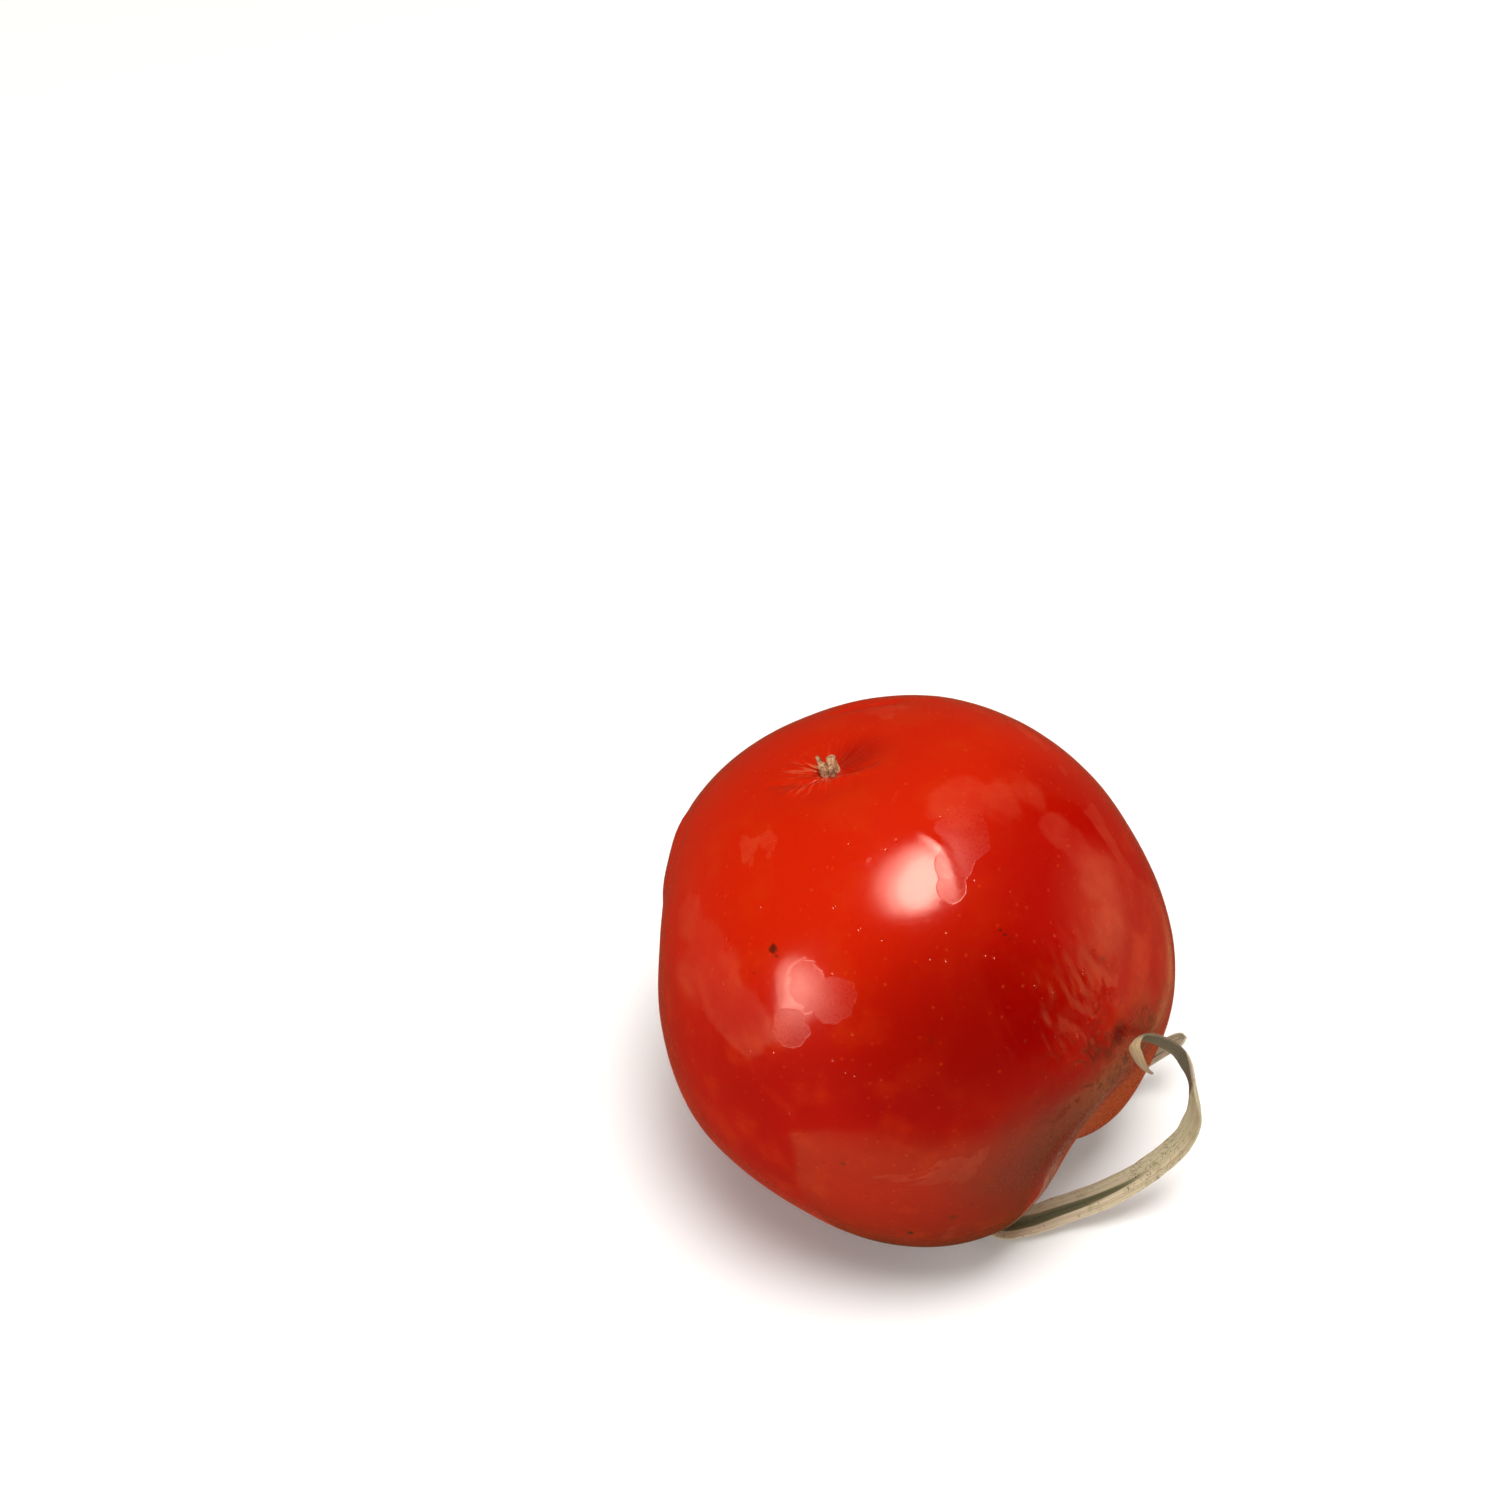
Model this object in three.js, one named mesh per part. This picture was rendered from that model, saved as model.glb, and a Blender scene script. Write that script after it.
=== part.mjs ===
// A ripe round tomato, picked with its dried calyx, lying on one shoulder.
// Millimetres, +Z up. The origin is the middle of the small flat spot that
// the fruit has settled on, so everything lies on or above the plane z = 0.

import * as THREE from 'three';

// Fruit
const BELT_RADIUS = 34.7;
const END_RISE = { blossom: 3.3, stem: 1.9 };
const CENTRE_HEIGHT = 34.2;
const BLOSSOM_END = new THREE.Vector3(-0.34, 0.213, 0.914).normalize();
const STEM_CAVITY = { depth: 7.6, reach: 15 };
const SHOULDER = { rise: 0.5, at: 34, reach: 13 };
const BLOSSOM_DIMPLE = { depth: 2.9, reach: 17 };
const GROOVE_START = 96;
const GROOVE_FULL = 132;
const FRUIT_SEGMENTS = 64;
const FRUIT_RINGS = 44;
const POLE_CROWDING = 0.55;

// Calyx
const CLEARANCE = 0.4;
const DISC = { radius: 3.2, thickness: 1.6 };
const PEDICEL = { length: 4.2, radius: 1.9, broken: 1.5 };
const STYLE_SCAR = { radius: 1.35, height: 2.1, azimuth: -14, polar: 4.2 };
const LEAF_THICKNESS = 0.2;
const LEAF_CUP = 0.22;
const LEAF_FACETS = 4;

// Grooves between the lobes run up from the stem cavity. Azimuth is in
// degrees round the fruit, from its front towards its right, as seen from
// the blossom end; depth is in mm and reach in degrees.
const GROOVES = [
  { azimuth: 57, depth: 5.6, reach: 27 },
  { azimuth: 118, depth: 1.2, reach: 18 },
  { azimuth: 178, depth: 1.9, reach: 17 },
  { azimuth: -118, depth: 1.6, reach: 20 },
  { azimuth: -58, depth: 1.0, reach: 18 },
];

// Broad swells (rise above 0) and hollows (rise below 0) of the belt.
// Azimuth, polar angle from the blossom end and reach are in degrees.
const SWELLS = [
  { azimuth: -64, polar: 104, rise: 0.9, reach: 26 },
  { azimuth: -84, polar: 62, rise: -0.9, reach: 17 },
  { azimuth: -105, polar: 42, rise: 1.0, reach: 18 },
  { azimuth: 112, polar: 84, rise: -0.7, reach: 24 },
  { azimuth: -20, polar: 138, rise: 0.5, reach: 20 },
  { azimuth: 160, polar: 100, rise: 0.6, reach: 30 },
];

const PAPERY = { roughness: 0.85, metalness: 0 };
const STRAW = 0xb8a578;
const radians = THREE.MathUtils.degToRad;
const degrees = THREE.MathUtils.radToDeg;

// The fruit's own directions: front and right lie across its stem axis.
const STEM_END = BLOSSOM_END.clone().negate();
const FRONT = new THREE.Vector3(0, -1, 0).projectOnPlane(BLOSSOM_END).normalize();
const RIGHT = new THREE.Vector3().crossVectors(BLOSSOM_END, FRONT);
const CENTRE = new THREE.Vector3(0, 0, CENTRE_HEIGHT);

// A smooth bump, 1 at the middle and fading over `reach`.
function fade(distance, reach) {
  return Math.exp(-((distance / reach) ** 2));
}

function direction(azimuth, polar) {
  const across = Math.sin(radians(polar));
  return new THREE.Vector3()
    .addScaledVector(BLOSSOM_END, Math.cos(radians(polar)))
    .addScaledVector(FRONT, across * Math.cos(radians(azimuth)))
    .addScaledVector(RIGHT, across * Math.sin(radians(azimuth)));
}

function grooveDepth(azimuth, polar) {
  const along = THREE.MathUtils.smoothstep(polar, GROOVE_START, GROOVE_FULL);
  const inside = 1 - fade(180 - polar, STEM_CAVITY.reach);
  let depth = 0;
  for (const groove of GROOVES) {
    const turn = THREE.MathUtils.euclideanModulo(azimuth - groove.azimuth + 180, 360) - 180;
    depth += groove.depth * fade(turn, groove.reach);
  }
  return depth * along * inside;
}

// Distance of the skin from the fruit's centre, before it settled.
function skinRadius(azimuth, polar) {
  const towards = direction(azimuth, polar);
  const fromStem = 180 - polar;
  const rise = polar < 90 ? END_RISE.blossom : END_RISE.stem;
  let radius = BELT_RADIUS + rise * Math.cos(radians(polar)) ** 2;
  radius -= STEM_CAVITY.depth * fade(fromStem, STEM_CAVITY.reach);
  radius += SHOULDER.rise * fade(fromStem - SHOULDER.at, SHOULDER.reach);
  radius -= BLOSSOM_DIMPLE.depth * fade(polar, BLOSSOM_DIMPLE.reach);
  radius -= grooveDepth(azimuth, polar);
  for (const swell of SWELLS) {
    const away = degrees(towards.angleTo(direction(swell.azimuth, swell.polar)));
    radius += swell.rise * fade(away, swell.reach);
  }
  return radius;
}

function skinPoint(azimuth, polar) {
  const point = direction(azimuth, polar).multiplyScalar(skinRadius(azimuth, polar)).add(CENTRE);
  point.z = Math.max(point.z, 0);
  return point;
}

// A sphere's grid, its rings crowded towards both ends, pushed out to the skin.
function fruitGeometry() {
  const geometry = new THREE.SphereGeometry(1, FRUIT_SEGMENTS, FRUIT_RINGS);
  const positions = geometry.attributes.position;
  const point = new THREE.Vector3();
  for (let i = 0; i < positions.count; i += 1) {
    point.fromBufferAttribute(positions, i);
    const even = point.angleTo(new THREE.Vector3(0, 1, 0));
    const crowded = even - (POLE_CROWDING / 2) * Math.sin(2 * even);
    const azimuth = degrees(Math.atan2(point.x, point.z));
    point.copy(skinPoint(azimuth, degrees(crowded)));
    positions.setXYZ(i, point.x, point.y, point.z);
  }
  geometry.computeVertexNormals();
  return geometry;
}

// A lathe turned about the given direction, its foot at the given place.
function turnedPiece(profile, segments, place, axis) {
  const geometry = new THREE.LatheGeometry(profile, segments);
  const turn = new THREE.Quaternion().setFromUnitVectors(new THREE.Vector3(0, 1, 0), axis);
  geometry.applyQuaternion(turn);
  geometry.translate(place.x, place.y, place.z);
  return geometry;
}

// The flower's dried style, left as a corky nub a little to the front of the
// middle of the blossom dimple.
function styleScarGeometry() {
  const { radius, height, azimuth, polar } = STYLE_SCAR;
  const profile = [
    new THREE.Vector2(0, 0),
    new THREE.Vector2(radius, 0),
    new THREE.Vector2(0.94 * radius, 0.35 * height),
    new THREE.Vector2(0.7 * radius, 0.75 * height),
    new THREE.Vector2(0.45 * radius, height),
    new THREE.Vector2(0, 0.92 * height),
  ];
  const foot = skinPoint(azimuth, polar).addScaledVector(BLOSSOM_END, CLEARANCE);
  return turnedPiece(profile, 16, foot, BLOSSOM_END);
}

// The calyx's small disc, which the sepals and the stalk grow from.
function discGeometry() {
  const { radius, thickness } = DISC;
  const profile = [
    new THREE.Vector2(0, 0),
    new THREE.Vector2(0.5 * radius, 0.25 * thickness),
    new THREE.Vector2(radius, 0.8 * thickness),
    new THREE.Vector2(0.75 * radius, thickness),
    new THREE.Vector2(0, thickness),
  ];
  const foot = skinPoint(0, 180).addScaledVector(STEM_END, CLEARANCE);
  return turnedPiece(profile, 20, foot, STEM_END);
}

// What is left of the stalk after it broke at its knuckle.
function pedicelGeometry() {
  const { length, radius, broken } = PEDICEL;
  const profile = [
    new THREE.Vector2(0, 0),
    new THREE.Vector2(radius, 0),
    new THREE.Vector2(0.82 * radius, 0.4 * length),
    new THREE.Vector2(broken, length),
    new THREE.Vector2(0, 0.9 * length),
  ];
  const above = 2 * CLEARANCE + DISC.thickness;
  const foot = skinPoint(0, 180).addScaledVector(STEM_END, above);
  return turnedPiece(profile, 16, foot, STEM_END);
}

// Cross-section of a dried sepal, one unit wide: a thin strip bent into a
// channel that opens towards +Y.
function channelShape() {
  const upper = [];
  const lower = [];
  for (let i = 0; i <= LEAF_FACETS; i += 1) {
    const x = i / LEAF_FACETS - 0.5;
    const bend = LEAF_CUP * 4 * x * x;
    upper.push(new THREE.Vector2(x, bend + LEAF_THICKNESS / 2));
    lower.push(new THREE.Vector2(x, bend - LEAF_THICKNESS / 2));
  }
  return new THREE.Shape([...lower, ...upper.reverse()]);
}

// Each station of a sepal is a place on its midline, the way that its inner
// side faces there, and its width.
const at = (place, face, width) => ({
  place: new THREE.Vector3(...place),
  face: new THREE.Vector3(...face),
  width: new THREE.Vector3(width, 0, 0),
});

// A straight channel bent along the stations, turning and tapering with them.
function sepalGeometry(stations, steps) {
  const geometry = new THREE.ExtrudeGeometry(channelShape(), { depth: 1, steps, bevelEnabled: false });
  const places = new THREE.CatmullRomCurve3(stations.map((station) => station.place));
  const faces = new THREE.CatmullRomCurve3(stations.map((station) => station.face));
  const widths = new THREE.CatmullRomCurve3(stations.map((station) => station.width));
  const positions = geometry.attributes.position;
  for (let i = 0; i < positions.count; i += 1) {
    const along = THREE.MathUtils.clamp(positions.getZ(i), 0, 1);
    const width = widths.getPoint(along).x;
    const tangent = places.getTangent(along);
    const face = faces.getPoint(along).projectOnPlane(tangent).normalize();
    const side = new THREE.Vector3().crossVectors(face, tangent);
    const point = places.getPoint(along)
      .addScaledVector(side, positions.getX(i) * width)
      .addScaledVector(face, positions.getY(i) * width);
    positions.setXYZ(i, point.x, point.y, point.z);
  }
  geometry.computeVertexNormals();
  return geometry;
}

// The long sepal comes out from under the front of the fruit, sweeps up
// past its right side and ends in a curl in front of it.
const LONG_SEPAL = [
  at([10.6, -9.7, 5.1], [-0.2, -0.1, 1], 3.4),
  at([10.8, -13.6, 3.4], [-0.1, -0.4, 0.9], 3.8),
  at([13.0, -17.0, 2.4], [-0.1, -0.6, 0.8], 3.9),
  at([17.0, -16.6, 2.7], [-0.1, -0.64, 0.77], 3.9),
  at([21.5, -15.2, 3.7], [-0.1, -0.64, 0.77], 3.9),
  at([26.6, -13.9, 5.6], [-0.2, -0.64, 0.74], 3.8),
  at([30.5, -12.9, 8.0], [-0.3, -0.65, 0.7], 3.6),
  at([33.7, -12.1, 11.0], [-0.4, -0.67, 0.6], 3.5),
  at([36.7, -11.5, 15.2], [-0.55, -0.7, 0.4], 3.2),
  at([38.1, -11.2, 19.6], [-0.65, -0.7, 0.2], 2.9),
  at([38.1, -11.3, 23.8], [-0.8, -0.55, 0.1], 2.5),
  at([37.4, -11.5, 27.6], [-0.9, -0.4, 0], 2.2),
  at([36.4, -11.8, 31.2], [-0.6, -0.8, 0], 1.9),
  at([35.1, -12.4, 34.6], [0.1, -1, 0], 1.7),
  at([33.4, -13.9, 38.2], [0.5, -0.85, 0], 1.6),
  at([31.5, -15.7, 41.5], [0.5, -0.85, -0.1], 1.6),
  at([29.9, -17.3, 44.0], [0.5, -0.85, -0.2], 1.5),
  at([28.5, -19.3, 46.0], [0.75, -0.4, -0.5], 1.5),
  at([27.8, -20.9, 46.2], [0.6, 0.5, -0.6], 1.5),
  at([28.4, -21.8, 45.0], [0.4, 0.85, -0.3], 1.4),
  at([29.3, -21.9, 43.2], [0.35, 0.9, 0], 1.1),
  at([30.5, -21.1, 41.2], [0.35, 0.9, 0.1], 0.5),
];

// The second sepal runs out under the right of the fruit, behind the first.
const SECOND_SEPAL = [
  at([14.4, -6.0, 5.4], [-0.3, 0.1, 0.9], 3.2),
  at([18.4, -3.2, 3.6], [-0.2, 0.1, 0.9], 3.4),
  at([24.0, 2.6, 3.0], [-0.2, 0, 0.9], 3.3),
  at([29.2, 7.0, 4.8], [-0.4, 0, 0.9], 3.0),
  at([33.8, 9.3, 7.8], [-0.6, -0.2, 0.7], 2.6),
  at([38.0, 9.9, 12.0], [-0.7, -0.4, 0.5], 2.3),
];

// Three sepals have shrivelled to short curls inside the stem cavity.
const THIRD_SEPAL = [
  at([12.0, -2.7, 4.2], [-0.2, -0.3, 0.9], 2.6),
  at([12.6, -0.3, 3.0], [-0.1, -0.4, 0.9], 2.7),
  at([12.8, 2.0, 1.9], [0, -0.2, 1], 2.2),
  at([12.6, 3.8, 1.0], [0.1, 0.5, 0.9], 1.2),
];
const FOURTH_SEPAL = [
  at([8.1, -4.9, 3.7], [0.6, -0.4, 0.8], 2.3),
  at([7.0, -4.4, 2.6], [0.8, -0.4, 0.5], 2.3),
  at([6.3, -4.0, 1.6], [0.9, -0.4, 0.2], 1.8),
  at([6.3, -3.9, 0.7], [0.9, -0.4, -0.2], 1.0),
];
const FIFTH_SEPAL = [
  at([7.8, -9.1, 3.9], [0.5, 0.5, 0.8], 2.5),
  at([6.5, -10.6, 2.7], [0.5, 0.5, 0.8], 2.6),
  at([5.3, -12.2, 1.7], [0.4, 0.4, 0.9], 2.1),
  at([4.4, -13.6, 1.0], [0.3, 0.2, 0.9], 1.1),
];

const object = new THREE.Group();

function addPiece(name, geometry, colour, surface) {
  const material = new THREE.MeshStandardMaterial({ color: colour, ...surface });
  const mesh = new THREE.Mesh(geometry, material);
  mesh.name = name;
  object.add(mesh);
}

addPiece('fruit', fruitGeometry(), 0xc62408, { roughness: 0.22, metalness: 0 });
addPiece('style_scar', styleScarGeometry(), 0x9c8a68, { roughness: 0.9, metalness: 0 });
addPiece('calyx_disc', discGeometry(), 0x7f7a4c, PAPERY);
addPiece('pedicel_stub', pedicelGeometry(), 0x8b8557, PAPERY);
addPiece('sepal_1', sepalGeometry(LONG_SEPAL, 46), STRAW, PAPERY);
addPiece('sepal_2', sepalGeometry(SECOND_SEPAL, 16), STRAW, PAPERY);
addPiece('sepal_3', sepalGeometry(THIRD_SEPAL, 9), STRAW, PAPERY);
addPiece('sepal_4', sepalGeometry(FOURTH_SEPAL, 9), STRAW, PAPERY);
addPiece('sepal_5', sepalGeometry(FIFTH_SEPAL, 9), STRAW, PAPERY);

export default object;
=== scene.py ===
"""A ripe tomato lying on one shoulder on a pale surface, its dried calyx still on.

Metres, +Z up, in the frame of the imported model: the fruit's flat resting spot
is round the origin, and its blossom end points up, left and a little back.
"""
import math

import bmesh
import bpy
from mathutils import Matrix, Quaternion, Vector, noise


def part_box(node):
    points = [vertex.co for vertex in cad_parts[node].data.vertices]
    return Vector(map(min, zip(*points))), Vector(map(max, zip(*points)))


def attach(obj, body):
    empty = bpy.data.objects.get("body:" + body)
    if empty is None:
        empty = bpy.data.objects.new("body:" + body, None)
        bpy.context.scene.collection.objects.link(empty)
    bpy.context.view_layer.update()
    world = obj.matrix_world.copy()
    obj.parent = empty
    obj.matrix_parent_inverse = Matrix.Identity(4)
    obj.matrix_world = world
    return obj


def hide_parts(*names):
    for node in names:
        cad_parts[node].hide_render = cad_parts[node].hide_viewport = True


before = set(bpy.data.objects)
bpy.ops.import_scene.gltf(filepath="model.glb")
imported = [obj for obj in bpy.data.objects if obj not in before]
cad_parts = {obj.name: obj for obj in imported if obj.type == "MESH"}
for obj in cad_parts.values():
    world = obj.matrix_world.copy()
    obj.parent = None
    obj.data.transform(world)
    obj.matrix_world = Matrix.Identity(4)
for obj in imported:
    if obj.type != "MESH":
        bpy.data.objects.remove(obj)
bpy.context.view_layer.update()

# ---------------------------------------------------------------- the fruit
# One grown body: a thin glossy skin, wet in places, over soft ripe flesh.
# It is lobed towards the stalk, where a wide groove divides two shoulders,
# and puckered round the scar of its flower at the other end.

MM = 0.001
blossom_end = Vector((-0.34, 0.213, 0.914)).normalized()
across_front = Vector((0, -1, 0)) - Vector((0, -1, 0)).dot(blossom_end) * blossom_end
across_front.normalize()
across_right = blossom_end.cross(across_front)
fruit_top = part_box("fruit")[1].z
fruit_centre = Vector((0, 0, 0.48 * fruit_top))


def skin_direction(azimuth, polar):
    """Azimuth runs from the fruit's front to its right, polar from its blossom end."""
    a, p = math.radians(azimuth), math.radians(polar)
    sideways = math.cos(a) * across_front + math.sin(a) * across_right
    return math.cos(p) * blossom_end + math.sin(p) * sideways


def fade(distance, reach):
    return math.exp(-((distance / reach) ** 2))


def smooth_step(value, low, high):
    share = min(max((value - low) / (high - low), 0.0), 1.0)
    return share * share * (3 - 2 * share)


# Folds, cracks and troughs of the skin: two ends (azimuth, polar in
# degrees), half width and depth in mm. A ridge has a depth below zero.
CREASES = [
    ((-64, 14.0), (-36, 9.2), 0.60, 0.28),
    ((-36, 9.2), (-12, 6.8), 0.60, 0.50),
    ((-12, 6.8), (12, 6.2), 0.60, 0.60),
    ((12, 6.2), (34, 7.4), 0.60, 0.52),
    ((34, 7.4), (58, 10.5), 0.65, 0.38),
    ((-40, 13.0), (-14, 9.8), 1.20, -0.30),
    ((-14, 9.8), (16, 9.0), 1.20, -0.42),
    ((16, 9.0), (48, 12.0), 1.20, -0.34),
    ((-175, 23), (138, 28), 0.90, -0.24),
    ((-168, 18.5), (150, 21.5), 0.55, 0.34),
    ((170, 25.5), (140, 31), 0.50, 0.16),
    ((-96, 38), (-82, 50), 0.80, 0.45),
    ((-100, 42), (-88, 55), 0.70, -0.25),
    ((-87, 36), (-76, 46), 0.60, 0.20),
    ((8, 30), (14, 31), 0.30, 0.20),
    ((7.5, 31.2), (14.5, 32.2), 0.30, -0.14),
    ((38, 31.5), (41, 37), 0.35, -0.10),
    ((41, 37), (38, 44), 0.35, -0.12),
    ((38, 44), (35, 49.5), 0.30, -0.07),
    ((43, 47), (55, 47), 0.22, -0.06),
    ((57, 73), (60, 81), 0.90, 0.30),
    ((42, 77), (51, 91), 1.00, 0.34),
    ((50, 80), (58, 94), 0.90, 0.12),
    ((62, 84), (66, 98), 0.80, 0.14),
    ((38, 101), (56, 104), 1.40, 0.14),
    ((60, 96), (66, 112), 0.90, 0.14),
]


def crease_relief(direction, start, end, half_width):
    """1 along the arc from start to end, fading beside it and at its ends."""
    span = end - start
    share = min(max((direction - start).dot(span) / span.length_squared, 0.0), 1.0)
    away = (direction - (start + share * span)).length * fruit_centre.z / MM
    ends = smooth_step(share, -0.25, 0.2) * smooth_step(1 - share, -0.25, 0.2)
    return fade(away, half_width) * (0.35 + 0.65 * ends)


scar_low, scar_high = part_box("style_scar")
scar_axis = ((scar_low + scar_high) / 2 - fruit_centre).normalized()
crease_lines = [
    (skin_direction(*start).normalized(), skin_direction(*end).normalized(), width, depth)
    for start, end, width, depth in CREASES
]
shrivel_middle = skin_direction(47, 82)
SHRIVEL_REACH = 15       # degrees round its middle
DIMPLE_DEPTH = 0.75      # mm that the flower's scar is drawn in
DIMPLE_REACH = 6.5       # degrees round the scar
TIGHTEST_PUCKER = -105   # degrees round the scar, 0 at the front
RESTING_RIM = 0.004      # metres up, above which the skin has its full relief
CREASE_NEARNESS = 0.86   # cosine of the angle past which a crease is out of reach


def skin_relief(point):
    """How far the skin stands out at this point, in mm, besides its main shape."""
    direction = (point - fruit_centre).normalized()
    polar = math.degrees(math.acos(max(-1.0, min(1.0, direction.dot(blossom_end)))))
    azimuth = math.atan2(direction.dot(across_right), direction.dot(across_front))
    swirl = Vector((math.cos(azimuth), math.sin(azimuth), 0))
    place = point / MM
    from_scar = math.degrees(direction.angle(scar_axis))
    relief = 0.16 * noise.noise(place / 11) + 0.035 * noise.noise(place / 4.2)
    relief -= DIMPLE_DEPTH * fade(from_scar, DIMPLE_REACH)
    # The puckers run out from the flower's scar, drawn in tightest on its left.
    off_scar = direction - scar_axis
    round_scar = math.atan2(off_scar.dot(across_right), off_scar.dot(across_front))
    spoke = Vector((math.cos(round_scar), math.sin(round_scar), 0))
    off_tightest = (math.degrees(round_scar) - TIGHTEST_PUCKER + 180) % 360 - 180
    tight = 0.30 + 0.70 * fade(off_tightest, 62)
    pucker = noise.noise(5.5 * spoke + Vector((0, 0, from_scar / 14)))
    relief -= 0.55 * tight * abs(pucker) * fade(from_scar - 5, 6.0)
    fine = noise.noise(16 * spoke + Vector((0, 0, from_scar / 9)))
    relief -= 0.22 * tight * abs(fine) * fade(from_scar - 5, 6.0)
    # Soft ribs on the shoulders round the stalk.
    ribs = noise.noise(4 * swirl + Vector((0, 0, polar / 30)))
    relief += 0.14 * ribs * smooth_step(polar, 118, 150)
    # Fine folds of the shrivelled patch above the groove.
    shrivelled = fade(math.degrees(direction.angle(shrivel_middle)), SHRIVEL_REACH)
    folds = noise.noise(Vector((azimuth * 30, polar / 5.5, 3)))
    fine_folds = noise.noise(Vector((azimuth * 62, polar / 3.0, 9)))
    relief += shrivelled * (0.20 * folds + 0.17 * fine_folds)
    for start, end, half_width, depth in crease_lines:
        if direction.dot(start) > CREASE_NEARNESS:
            relief -= depth * crease_relief(direction, start, end, half_width)
    return relief


def finish_mesh(name, built, smooth=True):
    """Turns a bmesh into an object at the origin."""
    mesh = bpy.data.meshes.new(name)
    built.to_mesh(mesh)
    built.free()
    for face in mesh.polygons:
        face.use_smooth = smooth
    made = bpy.data.objects.new(name, mesh)
    bpy.context.scene.collection.objects.link(made)
    return made


def subdivided(piece, levels):
    """The piece with its smooth subdivision made part of the mesh."""
    rounding = piece.modifiers.new("rounding", "SUBSURF")
    rounding.levels = rounding.render_levels = levels
    rounding.use_limit_surface = False
    bpy.context.view_layer.update()
    graph = bpy.context.evaluated_depsgraph_get()
    dense = bpy.data.meshes.new_from_object(piece.evaluated_get(graph))
    piece.modifiers.clear()
    piece.data = dense
    return piece


def build_fruit():
    skin = bmesh.new()
    skin.from_mesh(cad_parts["fruit"].data)
    bmesh.ops.remove_doubles(skin, verts=skin.verts, dist=1e-6)
    bmesh.ops.join_triangles(
        skin, faces=skin.faces, angle_face_threshold=math.radians(40),
        angle_shape_threshold=math.radians(60))
    for layer in list(skin.loops.layers.uv.values()):
        skin.loops.layers.uv.remove(layer)
    fruit = subdivided(finish_mesh("tomato_fruit", skin), 2)
    skin = bmesh.new()
    skin.from_mesh(fruit.data)
    # The shrivelled patch and the puckered end carry finer folds.
    fine = [edge for edge in skin.edges
            if (edge.verts[0].co - fruit_centre).angle(shrivel_middle) < math.radians(1.4 * SHRIVEL_REACH)]
    bmesh.ops.subdivide_edges(skin, edges=fine, cuts=1, smooth=1.0, use_grid_fill=True)
    skin.normal_update()
    moves = []
    for vert in skin.verts:
        settled = smooth_step(vert.co.z, 0.0001, RESTING_RIM)
        moves.append(vert.normal * (settled * skin_relief(vert.co) * MM))
    for vert, move in zip(skin.verts, moves):
        vert.co += move
        vert.co.z = max(vert.co.z, 0)
    skin.to_mesh(fruit.data)
    skin.free()
    for face in fruit.data.polygons:
        face.use_smooth = True
    return fruit


# Shader helpers, used by every material below.

def node(tree, kind, settings=None, **inputs):
    """Adds a node. An input given a socket is linked, and any other is set."""
    made = tree.nodes.new("ShaderNode" + kind)
    for name, value in (settings or {}).items():
        setattr(made, name, value)
    for name, value in inputs.items():
        put(tree, made.inputs[name.replace("_", " ")], value)
    return made


def put(tree, socket, value):
    if isinstance(value, bpy.types.NodeSocket):
        tree.links.new(value, socket)
    else:
        socket.default_value = value


def maths(tree, operation, *values):
    made = node(tree, "Math", {"operation": operation})
    for socket, value in zip(made.inputs, values):
        put(tree, socket, value)
    return made.outputs[0]


def remap(tree, value, low, high, to_low=0.0, to_high=1.0, kind="SMOOTHSTEP"):
    made = node(tree, "MapRange", {"interpolation_type": kind})
    for name, number in (("From Min", low), ("From Max", high), ("To Min", to_low), ("To Max", to_high)):
        made.inputs[name].default_value = number
    put(tree, made.inputs["Value"], value)
    return made.outputs[0]


def mixed(tree, share, first, second):
    made = node(tree, "Mix", {"data_type": "RGBA"})
    put(tree, made.inputs[0], share)
    put(tree, made.inputs[6], first)
    put(tree, made.inputs[7], second)
    return made.outputs[2]


def grain(tree, coordinates, scale, detail=3.0, roughness=0.5, distortion=0.0):
    made = node(tree, "TexNoise", Vector=coordinates, Scale=scale, Detail=detail,
                Roughness=roughness, Distortion=distortion)
    return made.outputs["Fac"]


def new_material(name):
    material = bpy.data.materials.new(name)
    material.use_nodes = True
    tree = material.node_tree
    tree.nodes.clear()
    shader = node(tree, "BsdfPrincipled")
    output = node(tree, "OutputMaterial")
    tree.links.new(shader.outputs[0], output.inputs[0])
    return material, tree, shader


def roughened(tree, shader, relief, strength, distance):
    """Gives the shader the relief as a bump."""
    bump = node(tree, "Bump", Height=relief)
    bump.inputs["Strength"].default_value = strength
    bump.inputs["Distance"].default_value = distance
    tree.links.new(bump.outputs[0], shader.inputs["Normal"])


def toned(red, green, blue):
    return (red, green, blue, 1.0)


# Blemishes of the skin: azimuth, polar, radius in mm, darkness.
SPECKS = [
    (-18, 47, 0.85, 0.95),
    (-17, 48.4, 0.40, 0.7),
    (41, 57, 0.36, 0.95),
    (41.4, 58.2, 0.36, 0.95),
    (41.9, 59.4, 0.28, 0.8),
    (16, 71, 0.55, 0.35),
    (-8, 125, 0.70, 0.95),
    (5, 121, 0.90, 0.45),
    (-12, 96, 0.60, 0.60),
    (-24, 52, 0.26, 0.5),
    (-30, 70, 0.30, 0.4),
    (24, 97, 0.45, 0.35),
    (60, 76, 0.60, 0.45),
    (49, 90, 1.40, 0.40),
    (52, 95, 1.10, 0.40),
]

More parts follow.
